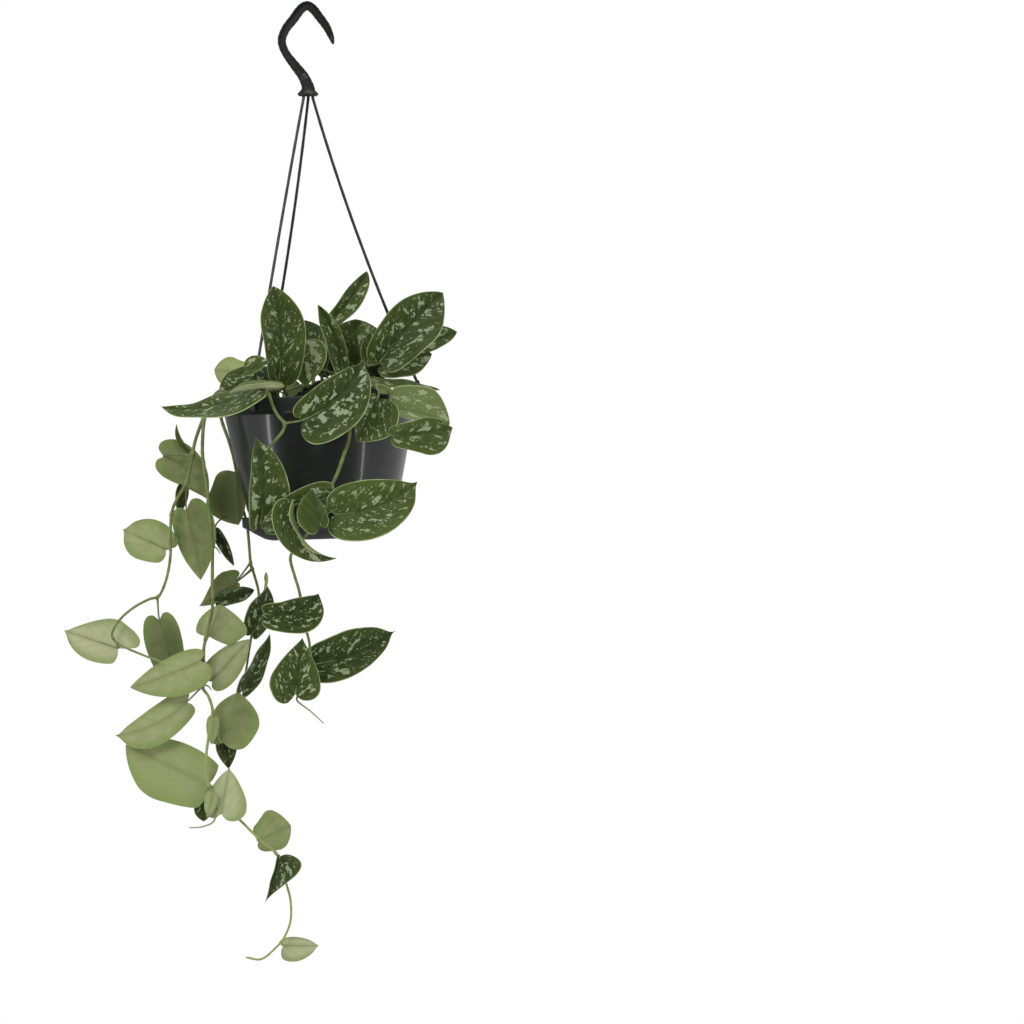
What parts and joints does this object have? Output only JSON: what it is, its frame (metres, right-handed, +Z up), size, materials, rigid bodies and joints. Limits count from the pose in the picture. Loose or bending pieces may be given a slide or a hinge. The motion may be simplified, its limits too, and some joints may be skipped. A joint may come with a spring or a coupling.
{
  "type": "hanging satin pothos plant",
  "caption": "Satin pothos with silver-flecked heart-shaped leaves on trailing vines, in a round black plastic pot with a clip-on saucer, hung by thin strands from a hook.",
  "frame": {"origin": "inside the top of the hook, where it bears on the bar, ring or eye that carries it", "axes": "+Z up, -Y towards the front, where the front stems spill over the rim, +X to the right seen from the front"},
  "size_m": [0.2942, 0.1959, 0.7196],
  "materials": {
    "pot_plastic": "black, moderately glossy moulded plastic",
    "hook_plastic": "very dark green-black moulded plastic, satin",
    "peat": "dark damp peat, rough",
    "satin_leaf": "satin green leaves with silver flecks above and pale green beneath, on pale green stems"
  },
  "bodies": {
    "root": {"hook": "hook_plastic", "strand_left": "hook_plastic", "strand_back": "hook_plastic", "strand_right": "hook_plastic", "pot": "pot_plastic", "saucer": "pot_plastic", "soil": "peat", "vine_crown_left": "satin_leaf", "vine_crown_tall": "satin_leaf", "vine_crown_mid": "satin_leaf", "vine_crown_high": "satin_leaf", "vine_crown_right": "satin_leaf", "vine_front_left": "satin_leaf", "vine_front_mid": "satin_leaf", "vine_left_outer": "satin_leaf", "vine_left_long": "satin_leaf", "vine_left_back": "satin_leaf", "vine_back_short": "satin_leaf", "vine_back_trailing": "satin_leaf"}
  },
  "joints": []
}
